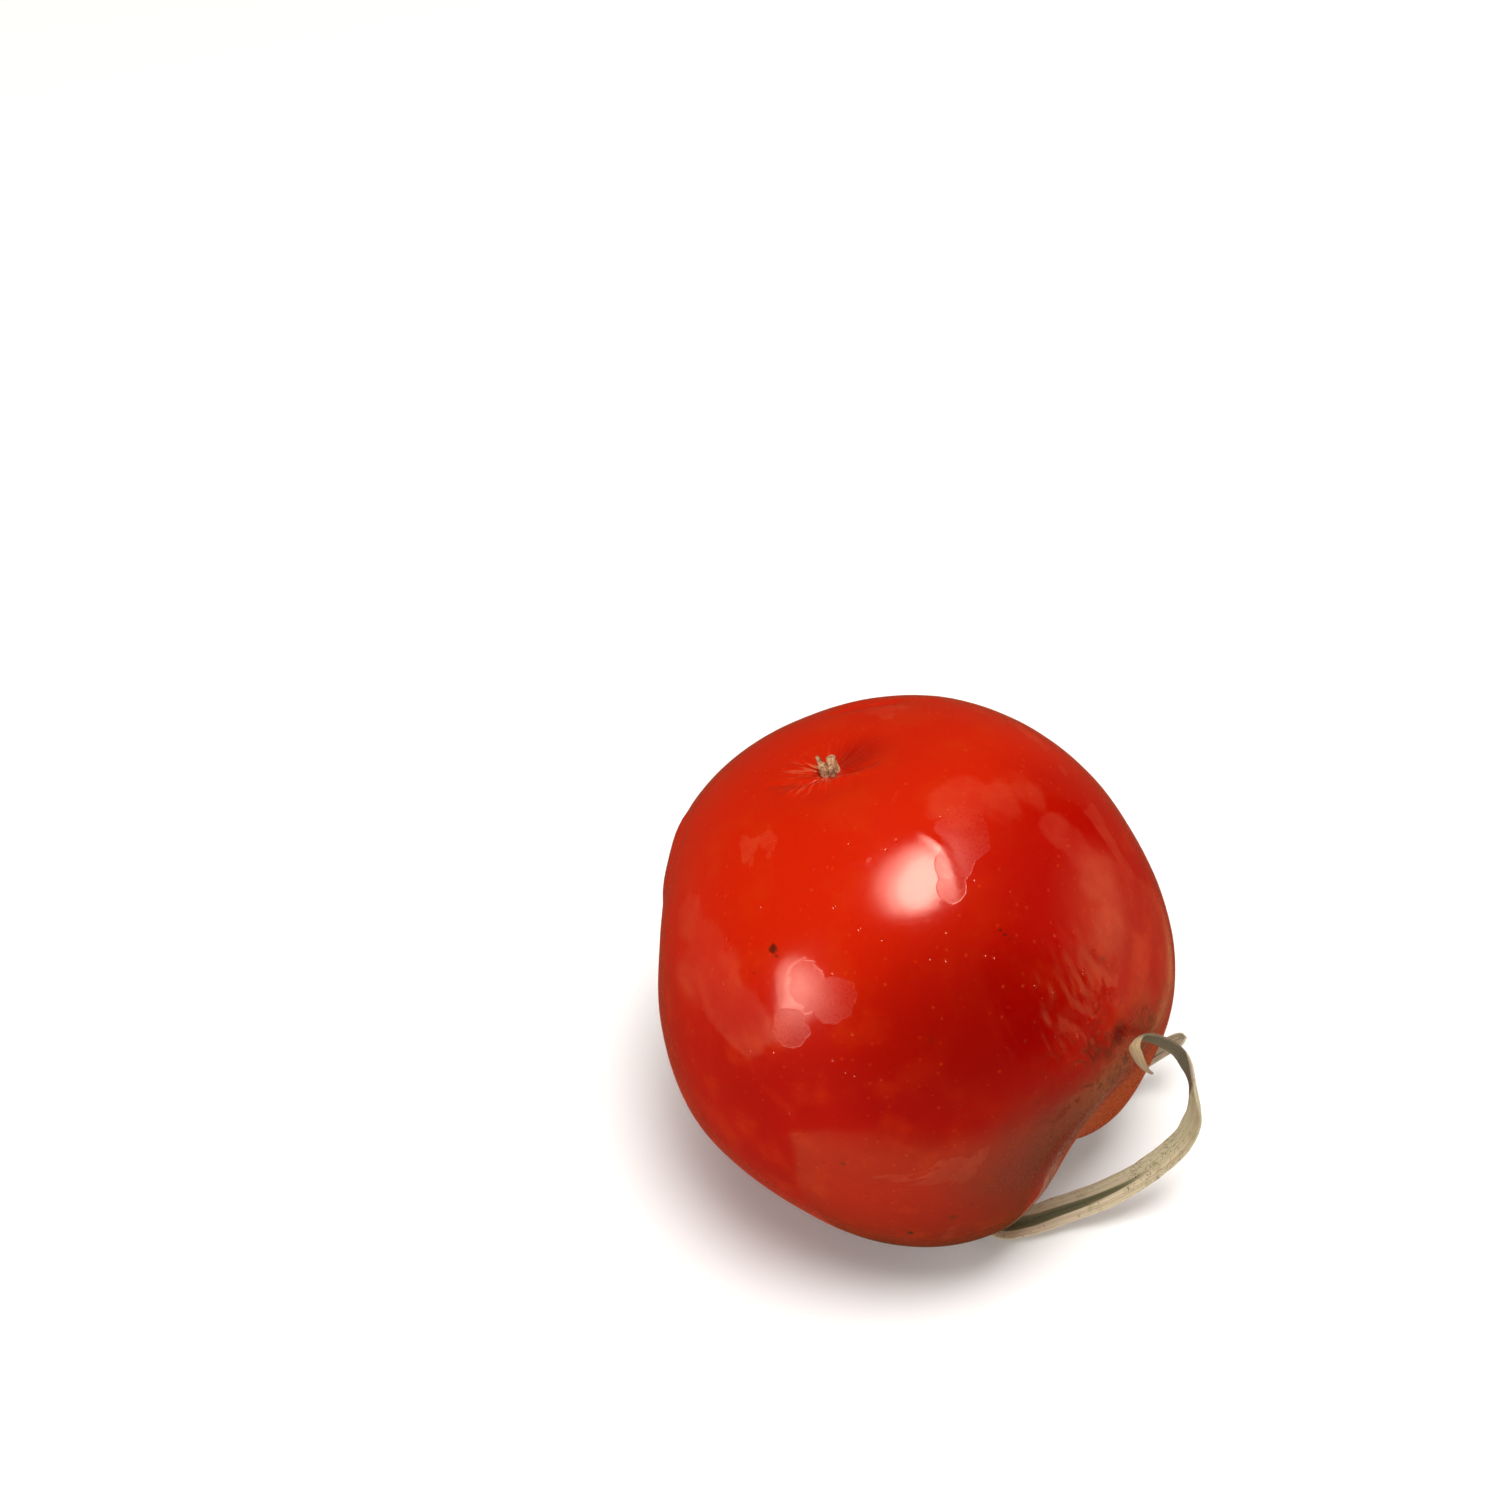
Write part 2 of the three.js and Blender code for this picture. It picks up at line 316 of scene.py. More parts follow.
# Patches where the wet film has dried: azimuth, polar and reach in mm. The
# first kind only turns dull. The second is left dusty and paler as well, its
# paleness partly a painted sheen.
DULL_PATCHES = [
    (-9, 54, 3.4), (-3, 57, 3.2), (-15, 62, 2.2), (40, 41, 2.2), (47, 38, 2.6), (54, 36, 2.2),
    (36, 45, 1.6),
]
DUSTY_SHEEN_PATCHES = [
    (-44, 49, 4.6), (-52, 46, 4.0), (-27, 60, 4.2), (-34, 56, 4.6), (-48, 56, 4.0),
    (58, 31, 3.0), (65, 32, 3.4), (71, 38, 3.6), (78, 42, 3.2), (74, 50, 2.4), (73, 57, 3.2),
    (72, 63, 4.0), (77, 69, 4.5), (68, 76, 5.5), (76, 79, 6.0), (64, 88, 5.5), (74, 90, 6.0),
    (84, 84, 6.0), (79, 100, 6.0),
]


def distance_to(tree, place, azimuth, polar):
    """How far the place is from the skin point at that azimuth and polar."""
    gap = node(tree, "VectorMath", {"operation": "DISTANCE"})
    put(tree, gap.inputs[0], place)
    gap.inputs[1].default_value = skin_cast(skin_direction(azimuth, polar))
    return gap.outputs["Value"]


def patches(tree, torn, places, low, high):
    """1 inside any of the patches. Their torn outline follows the given noise."""
    where = node(tree, "TexCoord").outputs["Object"]
    field = None
    for azimuth, polar, reach in places:
        gap = distance_to(tree, where, azimuth, polar)
        one = remap(tree, gap, 2.0 * reach * MM, 0.0, kind="LINEAR")
        field = one if field is None else maths(tree, "MAXIMUM", field, one)
    return remap(tree, maths(tree, "ADD", field, torn), low, high)


def warped(tree, where, scale, reach):
    """The coordinates, shifted by up to about `reach` in a fractal pattern."""
    wobble = node(tree, "TexNoise", Vector=where, Scale=scale, Detail=3.0, Roughness=0.62)
    spread = node(tree, "VectorMath", {"operation": "MULTIPLY_ADD"})
    put(tree, spread.inputs[0], wobble.outputs["Color"])
    spread.inputs[1].default_value = (4 * reach,) * 3
    put(tree, spread.inputs[2], where)
    shifted = node(tree, "VectorMath", {"operation": "SUBTRACT"})
    put(tree, shifted.inputs[0], spread.outputs[0])
    shifted.inputs[1].default_value = (2 * reach,) * 3
    return shifted.outputs[0]


def tinted(tree, base, mask, strength, tone):
    """The base, turned towards a tone where the mask is, up to that strength."""
    return mixed(tree, maths(tree, "MULTIPLY", mask, strength), base, toned(*tone))


SKIN_TONES = {
    "belt": (0.36, 0.0025, 0.0002),
    "deep belt": (0.29, 0.001, 0.0001),
    "blossom end": (0.46, 0.010, 0.0004),
    "mottle": (0.46, 0.022, 0.001),
    "shoulder": (0.165, 0.013, 0.002),
    # deep red, also painted shade on the front
    "deep red and shade": (0.19, 0.0004, 0.0001),
    "wet": (0.31, 0.0006, 0.0001),
    # painted shade in the hollow round the flower's scar
    "dimple shade": (0.27, 0.001, 0.0001),
    "fleck": (0.62, 0.07, 0.008),
    "groove": (0.42, 0.070, 0.006),
    "bruise": (0.115, 0.006, 0.003),
    "dull": (0.17, 0.022, 0.004),
    # dark brown mottling, also painted shade in the wrinkles' troughs
    "wrinkle_and_shade": (0.070, 0.006, 0.002),
    # painted shadow of the long sepal's curl
    "curl_shadow": (0.11, 0.002, 0.0005),
    # painted glints along the puckers by the flower's scar
    "glint_streak": (0.66, 0.17, 0.07),
    "cork": (0.33, 0.21, 0.07),
    "speck": (0.07, 0.007, 0.002),
    # dried film, and painted sheen, on the dusty patches
    "dust_and_sheen": (0.68, 0.15, 0.06),
}

# Soft stains of the ripe flesh: tone, strength, azimuth, polar, reach in mm,
# the share of it that is solid, and how far its edge wanders in mm. The deep
# red is partly painted shade on the front, and the last is painted shade in
# the hollow round the flower's scar.
RIPE_STAINS = [
    # Deep red, darkened further on the front as painted shade.
    ("deep red and shade", 0.85, 28, 74, 24, 0.1, 4),
    ("wet", 0.65, 84, 52, 15, 0.2, 4),
    ("wet", 0.65, 56, 50, 13, 0.2, 4),
    ("wet", 0.65, 62, 62, 9, 0.2, 4),
    # Painted shade in the hollow, to the right of the flower's scar.
    ("dimple shade", 0.60, 72, 5, 6.2, 0.1, 1),
]
# The orange brown wall of the groove, the brown bruise beside it, and the
# dull skin above them.
SORE_STAINS = [
    ("groove", 0.75, 68, 134, 17, 0.25, 3),
    ("bruise", 0.80, 34, 111, 17, 0.2, 5),
    ("dull", 0.60, 60, 104, 12, 0.2, 4),
]


def stain_mask(tree, where, azimuth, polar, reach, solid, wander):
    """1 in the solid middle of a stain, fading to 0 at its wandering edge."""
    place = warped(tree, where, 0.9 / (reach * MM), wander * MM / 2)
    gap = distance_to(tree, place, azimuth, polar)
    return remap(tree, gap, reach * MM, solid * reach * MM)


def stained(tree, where, base, stains):
    """The base with each stain laid over it, and all the stains as one mask."""
    together = 0.0
    for tone, strength, *place in stains:
        mask = stain_mask(tree, where, *place)
        base = tinted(tree, base, mask, strength, SKIN_TONES[tone])
        together = maths(tree, "MAXIMUM", together, mask)
    return base, together


def ripe_flesh(tree, where, height, mottle):
    """Orange red at the blossom end, deep red round the belt, and orange
    brown on the shoulders by the stalk, all softly mottled, with painted
    shade on the front and in the hollow round the flower's scar."""
    broad = grain(tree, where, 38, 3.0, 0.55)
    ripe = tinted(tree, toned(*SKIN_TONES["belt"]), remap(tree, broad, 0.3, 0.7), 1.0,
                  SKIN_TONES["deep belt"])
    ripe = tinted(tree, ripe, remap(tree, height, 0.004, 0.030), 1.0, SKIN_TONES["blossom end"])
    ripe = tinted(tree, ripe, remap(tree, mottle, 0.46, 0.72), 0.45, SKIN_TONES["mottle"])
    low_side = maths(tree, "ADD", height, maths(tree, "MULTIPLY", broad, 0.016))
    ripe = tinted(tree, ripe, remap(tree, low_side, -0.004, -0.024), 0.75, SKIN_TONES["shoulder"])
    return stained(tree, where, ripe, RIPE_STAINS)[0]


def scar_wheel(tree, axes):
    """Three things for patterns in spokes: the distance from the fruit's axis,
    which is moved to the flower's scar at the upper end, how far that way
    points right, and coordinates that are stretched along each spoke."""
    flat = node(tree, "CombineXYZ")
    at_top = remap(tree, axes[2], -0.005, 0.005)
    for number, across in enumerate((across_front, across_right)):
        shift = maths(tree, "MULTIPLY", at_top, scar_axis.dot(across) * fruit_centre.z)
        put(tree, flat.inputs[number], maths(tree, "SUBTRACT", axes[number], shift))
    out = node(tree, "VectorMath", {"operation": "LENGTH"})
    put(tree, out.inputs[0], flat.outputs[0])
    radius = out.outputs["Value"]
    wheel = node(tree, "VectorMath", {"operation": "NORMALIZE"})
    put(tree, wheel.inputs[0], flat.outputs[0])
    wheel_axes = node(tree, "SeparateXYZ", Vector=wheel.outputs[0]).outputs
    spokes = node(tree, "CombineXYZ")
    put(tree, spokes.inputs[0], wheel_axes[0])
    put(tree, spokes.inputs[1], wheel_axes[1])
    put(tree, spokes.inputs[2], maths(tree, "MULTIPLY", radius, 25.0))
    return radius, wheel_axes[1], spokes.outputs[0]


def dried_film(tree, where):
    """The wet film over the skin has dried in ragged patches, dull ones and
    dusty ones, whose paleness is partly a painted sheen. More of the dusty
    ones are scattered by chance at the back."""
    torn = grain(tree, where, 75, 7.0, 0.60, 0.5)
    torn = remap(tree, torn, 0.25, 0.75, -0.42, 0.42, "LINEAR")
    dull_film = patches(tree, torn, DULL_PATCHES, 0.48, 0.53)
    dusty_and_sheen = patches(tree, torn, DUSTY_SHEEN_PATCHES, 0.38, 0.62)
    backward = node(tree, "SeparateXYZ", Vector=where).outputs[1]
    drying = maths(tree, "ADD", grain(tree, where, 47, 6.0, 0.60, 0.6),
                   remap(tree, backward, 0.002, 0.020, 0.0, 0.05))
    return dull_film, maths(tree, "MAXIMUM", dusty_and_sheen, remap(tree, drying, 0.635, 0.648))


def skin_material():
    material, tree, shader = new_material("tomato_skin")
    where = node(tree, "TexCoord").outputs["Object"]
    # Turned so that the blossom end is along Z, and centred on the fruit.
    turn = Matrix((across_front, across_right, blossom_end))
    centred = node(tree, "VectorMath", {"operation": "SUBTRACT"})
    put(tree, centred.inputs[0], where)
    centred.inputs[1].default_value = fruit_centre
    turned = node(tree, "Mapping", {"vector_type": "POINT"}, Vector=centred.outputs[0])
    turned.inputs["Rotation"].default_value = turn.to_euler()
    axes = node(tree, "SeparateXYZ", Vector=turned.outputs[0]).outputs
    height = axes[2]
    mottle = grain(tree, where, 170, 4.0, 0.6)
    ripe = ripe_flesh(tree, where, height, mottle)

    # Small golden flecks, a quarter of a millimetre across.
    cells = node(tree, "TexVoronoi", Vector=where, Scale=820.0)
    chance = node(tree, "SeparateColor", Color=cells.outputs["Color"]).outputs
    fleck = remap(tree, cells.outputs["Distance"], 0.24, 0.10)
    golden = maths(tree, "MULTIPLY", fleck, remap(tree, chance[0], 0.45, 0.85))
    ripe = tinted(tree, ripe, golden, 0.20, SKIN_TONES["fleck"])

    # The sore skin by the groove, finely wrinkled, with dark brown mottling that also
    # lies as painted shade in the troughs of its wrinkles.
    ripe, sore = stained(tree, where, ripe, SORE_STAINS)
    wrinkled = stain_mask(tree, where, 54, 104, 19, 0.3, 4)
    wrinkle_and_shade = remap(tree, grain(tree, where, 430, 6.0, 0.68, 1.2), 0.53, 0.66)
    wrinkle_and_shade = maths(tree, "MULTIPLY", wrinkle_and_shade, wrinkled)
    ripe = tinted(tree, ripe, wrinkle_and_shade, 0.75, SKIN_TONES["wrinkle_and_shade"])
    # A painted shadow that the long sepal's curl casts above it, and its fainter tail.
    curl_shadow = stain_mask(tree, where, 56, 93, 2.2, 0.3, 1.2)
    curl_shadow_tail = maths(tree, "MULTIPLY", stain_mask(tree, where, 50, 93, 2.0, 0.3, 1.4), 0.53)
    ripe = tinted(tree, ripe, maths(tree, "MAXIMUM", curl_shadow, curl_shadow_tail), 0.85, SKIN_TONES["curl_shadow"])

    # Pale streaks that run out from the flower's scar, most on its left, are
    # painted glints along its puckers; corky rays go round the stalk's end.
    radius, rightward, spokes = scar_wheel(tree, axes)
    glint_streak = remap(tree, grain(tree, spokes, 9.0, 3.0, 0.6), 0.50, 0.68)
    reach = maths(tree, "MULTIPLY", remap(tree, radius, 0.0075, 0.0015), remap(tree, height, 0.0, 0.02))
    leftward = remap(tree, rightward, 0.1, -0.9, 0.12, 0.95)
    glint_streak = maths(tree, "MULTIPLY", glint_streak, maths(tree, "MULTIPLY", reach, leftward))
    ripe = tinted(tree, ripe, glint_streak, 1.0, SKIN_TONES["glint_streak"])
    cavity = maths(tree, "MULTIPLY", remap(tree, radius, 0.0105, 0.003), remap(tree, height, 0.0, -0.02))
    rays = remap(tree, grain(tree, spokes, 5.0, 4.0, 0.6), 0.35, 0.62)
    ripe = tinted(tree, ripe, maths(tree, "MULTIPLY", cavity, rays), 0.8, SKIN_TONES["cork"])
    for azimuth, polar, size, darkness in SPECKS:
        spot = stain_mask(tree, where, azimuth, polar, size, 0.3, 0.4)
        ripe = tinted(tree, ripe, spot, darkness, SKIN_TONES["speck"])

    dull_film, dusty_and_sheen = dried_film(tree, where)
    film_gone = maths(tree, "MAXIMUM", dull_film, dusty_and_sheen)
    # The dusty patches turn paler: dried film and a painted sheen together.
    dust_and_sheen = remap(tree, mottle, 0.30, 0.70, 0.03, 0.10)
    ripe = tinted(tree, ripe, dusty_and_sheen, dust_and_sheen, SKIN_TONES["dust_and_sheen"])
    put(tree, shader.inputs["Base Color"], ripe)

    # The gloss is sharpest where the skin is wet, and softer where the film has
    # dried, where the skin is sore, and on a worn spot above the highlight.
    worn = stain_mask(tree, where, 2, 30, 14, 0.4, 2)
    dry = maths(tree, "MAXIMUM", dull_film, maths(tree, "MULTIPLY", dusty_and_sheen, 0.6))
    dry = maths(tree, "MAXIMUM", dry, maths(tree, "MULTIPLY", sore, 1.2))
    rough = maths(tree, "ADD", remap(tree, dry, 0, 1, 0.12, 0.27), maths(tree, "MULTIPLY", worn, 0.05))
    pores = grain(tree, where, 2100, 2.0, 0.5)
    rough = maths(tree, "ADD", rough, remap(tree, pores, 0.35, 0.8, 0.0, 0.05))
    put(tree, shader.inputs["Roughness"], rough)
    shader.inputs["IOR"].default_value = 1.5
    shader.inputs["Specular IOR Level"].default_value = 0.6
    shader.inputs["Specular Tint"].default_value = toned(1.0, 0.60, 0.51)
    shader.inputs["Subsurface Weight"].default_value = 0.15
    shader.inputs["Subsurface Radius"].default_value = (1.0, 0.12, 0.05)
    shader.inputs["Subsurface Scale"].default_value = 0.003

    # Pits all over, and blisters where the skin is shrivelled.
    pit = maths(tree, "MULTIPLY", fleck, remap(tree, chance[1], 0.85, 0.90))
    blister = maths(tree, "MULTIPLY", fleck, remap(tree, chance[2], 0.70, 0.80))
    blister = maths(tree, "MULTIPLY", blister, stain_mask(tree, where, 46, 80, 13, 0.3, 3))
    # Each layer of the fine relief, with its height in mm.
    relief = 0.0
    for layer, layer_height in (
            (grain(tree, where, 900, 2.0, 0.6), 0.0045), (pores, 0.0010), (mottle, 0.012),
            (wrinkle_and_shade, -0.060), (pit, -0.050), (blister, 0.10), (film_gone, -0.010), (glint_streak, 0.05)):
        relief = maths(tree, "MULTIPLY_ADD", layer, layer_height, relief)
    roughened(tree, shader, relief, 1.0, MM)
    return material


fruit = build_fruit()


def skin_cast(direction):
    """The point of the skin in that direction from the fruit's centre."""
    return fruit.ray_cast(fruit_centre, direction)[1]


bpy.context.view_layer.update()
fruit.data.materials.clear()
fruit.data.materials.append(skin_material())
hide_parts("fruit")
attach(fruit, "root")

# ----------------------------------------------------------- the flower's scar
# What is left of the flower's style, dried to cork and grown into the dimple:
# two stumps with a gap between them, the larger one hollow, with a thin frayed
# wisp behind and a low lump in front.

STUMPS = [
    # Lean and foot, each to the right and to the front, radius and height in mm.
    {"lean": (0.10, -0.10), "foot": (0.35, -0.15), "radius": 0.74, "height": 2.50, "hollow": True},
    {"lean": (-0.16, 0.10), "foot": (-0.50, 0.10), "radius": 0.66, "height": 1.90, "hollow": False},
    {"lean": (-0.30, -0.30), "foot": (-0.75, -0.35), "radius": 0.36, "height": 2.60, "hollow": False},
    {"lean": (0.15, 0.30), "foot": (0.30, 0.50), "radius": 0.40, "height": 1.20, "hollow": False},
]


def corky_stump(radius, height, hollow, number):
    """One rough stump standing on the origin, with its foot a little below it."""
    stump = bmesh.new()
    bmesh.ops.create_cone(
        stump, segments=16, cap_ends=True, radius1=1.2 * radius, radius2=0.8 * radius, depth=height)
    top = max(stump.faces, key=lambda face: face.calc_center_median().z)
    upright = [edge for edge in stump.edges if abs(edge.verts[0].co.z - edge.verts[1].co.z) > 0.5 * height]
    bmesh.ops.inset_region(stump, faces=[top], thickness=0.34 * radius)
    if hollow:
        bmesh.ops.inset_region(stump, faces=[top], thickness=0.06 * radius, depth=-0.6 * MM)
    else:
        bmesh.ops.translate(stump, verts=top.verts, vec=(0, 0, 0.3 * radius))
    bmesh.ops.subdivide_edges(stump, edges=upright, cuts=7, use_grid_fill=True)
    for vert in stump.verts:
        rough = noise.noise(vert.co / (0.35 * MM) + Vector((7 * number, 0, 0)))
        turn = math.atan2(vert.co.y, vert.co.x)
        ridge = noise.noise(Vector((math.cos(turn) * 2, math.sin(turn) * 2, 5 * number)))
        swelling = 1 + 0.25 * rough + 0.40 * ridge
        vert.co.x *= swelling
        vert.co.y *= swelling
        vert.co.z += 0.42 * height + 0.15 * MM * rough
    return stump


def build_scar():
    foot = skin_cast(scar_axis)
    cork = bmesh.new()
    for number, stump in enumerate(STUMPS):
        lean = blossom_end + stump["lean"][0] * across_right + stump["lean"][1] * across_front
        base = foot + (stump["foot"][0] * across_right + stump["foot"][1] * across_front) * MM
        one = corky_stump(stump["radius"] * MM, stump["height"] * MM, stump["hollow"], number)
        turn = Vector((0, 0, 1)).rotation_difference(lean).to_matrix()
        bmesh.ops.rotate(one, verts=one.verts, cent=(0, 0, 0), matrix=turn)
        bmesh.ops.translate(one, verts=one.verts, vec=base)
        part = bpy.data.meshes.new("stump")
        one.to_mesh(part)
        one.free()
        cork.from_mesh(part)
        bpy.data.meshes.remove(part)
    scar = finish_mesh("flower_scar", cork)
    rounding = scar.modifiers.new("rounding", "SUBSURF")
    rounding.levels = rounding.render_levels = 1
    return scar


CORK_BROWN = (0.20, 0.085, 0.035)
CORK_TAN = (0.58, 0.32, 0.16)
CORK_DUST = (0.62, 0.52, 0.36)
CORK_HOLLOW = (0.035, 0.022, 0.012)


def cork_material():
    material, tree, shader = new_material("dry_cork")
    where = node(tree, "TexCoord").outputs["Object"]
    coarse = grain(tree, where, 1500, 4.0, 0.65)
    fine = grain(tree, where, 5200, 3.0, 0.6)
    tone = tinted(tree, toned(*CORK_BROWN), remap(tree, coarse, 0.36, 0.62), 1.0, CORK_TAN)
    tone = tinted(tree, tone, remap(tree, fine, 0.55, 0.75), 0.7, CORK_DUST)
    tone = tinted(tree, tone, remap(tree, fine, 0.47, 0.36), 0.9, CORK_HOLLOW)
    put(tree, shader.inputs["Base Color"], tone)
    put(tree, shader.inputs["Roughness"], remap(tree, coarse, 0.3, 0.7, 0.70, 0.95))
    roughened(tree, shader, maths(tree, "ADD", fine, coarse), 0.8, 0.12 * MM)
    return material


scar = build_scar()
scar.data.materials.append(cork_material())
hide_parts("style_scar")
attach(scar, "root")

# ------------------------------------------------------------- the long sepal
# One leaf of the calyx, dried to a straw-coloured ribbon folded along its
# green midrib. It grows from the calyx disc, runs out from under the fruit,
# and stands up beside it, ending in a twisted tan curl.

# Places along the midrib in mm, the way the inner side faces, and the width.
LONG_SEPAL = [
    ((10.6, -9.7, 5.1), (-0.2, -0.1, 1.0), 3.4),
    ((10.8, -13.6, 3.4), (-0.1, -0.4, 0.9), 3.8),
    ((13.0, -17.0, 2.4), (-0.1, -0.6, 0.8), 3.9),
    ((17.0, -16.6, 2.7), (-0.1, -0.64, 0.77), 3.9),
    ((21.5, -15.2, 3.7), (-0.1, -0.64, 0.77), 3.9),
    ((26.6, -13.9, 5.6), (-0.2, -0.64, 0.74), 3.8),
    ((30.5, -12.9, 8.0), (-0.3, -0.65, 0.7), 3.6),
    ((33.7, -12.1, 11.0), (-0.4, -0.67, 0.6), 3.5),
    ((36.7, -11.5, 15.2), (-0.55, -0.7, 0.4), 3.2),
    ((38.1, -11.2, 19.6), (-0.65, -0.7, 0.2), 2.9),
    ((38.1, -11.3, 23.8), (-0.8, -0.55, 0.1), 2.5),
    ((37.4, -11.5, 27.6), (-0.9, -0.4, 0.0), 2.2),
    ((36.4, -11.8, 31.2), (-0.6, -0.8, 0.0), 1.9),
    ((35.1, -12.4, 34.6), (0.1, -1.0, 0.0), 1.7),
    ((33.4, -13.9, 38.2), (0.5, -0.85, 0.0), 1.6),
    ((31.5, -15.7, 41.5), (0.5, -0.85, -0.1), 1.6),
    ((29.9, -17.3, 44.0), (0.5, -0.85, -0.2), 1.5),
    ((28.5, -19.3, 46.0), (0.75, -0.4, -0.5), 1.5),
    ((27.8, -20.9, 46.2), (0.6, 0.5, -0.6), 1.5),
    ((28.4, -21.8, 45.0), (0.4, 0.85, -0.3), 1.4),
    ((29.3, -21.9, 43.2), (0.35, 0.9, 0.0), 1.1),
    ((30.5, -21.1, 41.2), (0.35, 0.9, 0.1), 0.5),
]
SEPAL_CUP = 0.22  # how far the edges stand above the middle, as a share of the width


def along_route(values, share):
    """The value at that share of a smooth curve through evenly spaced ones."""
    spot = share * (len(values) - 1)
    first = min(int(spot), len(values) - 2)
    t = spot - first
    before, start, end, after = (
        Vector(values[min(max(first + step, 0), len(values) - 1)]) for step in (-1, 0, 1, 2))
    return 0.5 * (2 * start + (end - before) * t
                  + (2 * before - 5 * start + 4 * end - after) * t ** 2
                  + (3 * start - before - 3 * end + after) * t ** 3)


def sepal_ribbon(name, stations, rows, columns, thickness, furrow, seed, rounded_from=1.0):
    """A grid bent along the stations into a furrowed, wavy channel. Its wall
    is in mm, and its tip is rounded off from that share of its length on."""
    places = [station[0] for station in stations]
    faces = [station[1] for station in stations]
    widths = [(station[2], 0, 0) for station in stations]
    ribbon = bmesh.new()
    ribbon.loops.layers.uv.new("along_leaf")
    bmesh.ops.create_grid(ribbon, x_segments=columns, y_segments=rows, size=0.5, calc_uvs=True)
    for vert in ribbon.verts:
        across, along = 2 * vert.co.x, min(max(vert.co.y + 0.5, 0.0), 1.0)
        width = along_route(widths, along).x
        place = along_route(places, along)
        ahead = along_route(places, min(along + 0.004, 1.0))
        behind = along_route(places, max(along - 0.004, 0.0))
        tangent = (ahead - behind).normalized()
        face = along_route(faces, along)
        face = (face - face.dot(tangent) * tangent).normalized()
        side = face.cross(tangent)
        edge = abs(across) ** 3
        wave = noise.noise(Vector((along * rows / 9, seed + math.copysign(3, across), 0)))
        nick = noise.noise(Vector((along * rows / 3, seed + math.copysign(6, across), 0)))
        rib = noise.noise(Vector((across * 5.5, along * 2.2, seed)))
        fibre = noise.noise(Vector((across * 13, along * 5, seed + 4)))
        valley = furrow(along) * fade(across + 0.06 * wave, 0.24)
        lift = SEPAL_CUP * across ** 2 - 0.15 * valley + 0.045 * rib + 0.020 * fibre
        lift += 0.10 * edge * wave
        reach = across * (1 + 0.05 * edge * wave + 0.05 * edge * nick)
        if along > rounded_from:
            reach *= math.sqrt(1 - 0.92 * ((along - rounded_from) / (1 - rounded_from)) ** 2)
        vert.co = (place + side * (0.5 * width * reach) + face * (width * lift)) * MM
    leaf = finish_mesh(name, ribbon)
    wall = leaf.modifiers.new("thickness", "SOLIDIFY")
    wall.thickness = thickness * MM
    wall.offset = 0
    wall.material_offset = 1
    rounding = leaf.modifiers.new("rounding", "SUBSURF")
    rounding.levels = rounding.render_levels = 1
    return leaf


# Tones along the leaf, from its root to its tip.
STRAW_TONES = [
    (0.00, (0.24, 0.16, 0.09)),
    (0.10, (0.58, 0.44, 0.30)),
    (0.22, (0.64, 0.56, 0.40)),
    (0.40, (0.50, 0.45, 0.28)),
    (0.50, (0.54, 0.48, 0.31)),
    (0.58, (0.56, 0.48, 0.36)),
    (0.78, (0.50, 0.38, 0.22)),
    (0.84, (0.34, 0.22, 0.11)),
    (1.00, (0.29, 0.18, 0.10)),
]


LEAF_TONES = {
    "between fibres": (0.25, 0.19, 0.085),
    "thread": (0.74, 0.66, 0.48),
    "green": (0.26, 0.26, 0.10),
    # green midrib, darkened further as painted shade in its channel
    "furrow": (0.060, 0.062, 0.014),
    "brown half": (0.20, 0.105, 0.050),
    # painted shade on the inner side of the twisted leaf
    "inner side shade": (0.085, 0.058, 0.024),
    "crack": (0.12, 0.085, 0.035),
    "spot": (0.045, 0.028, 0.012),
}


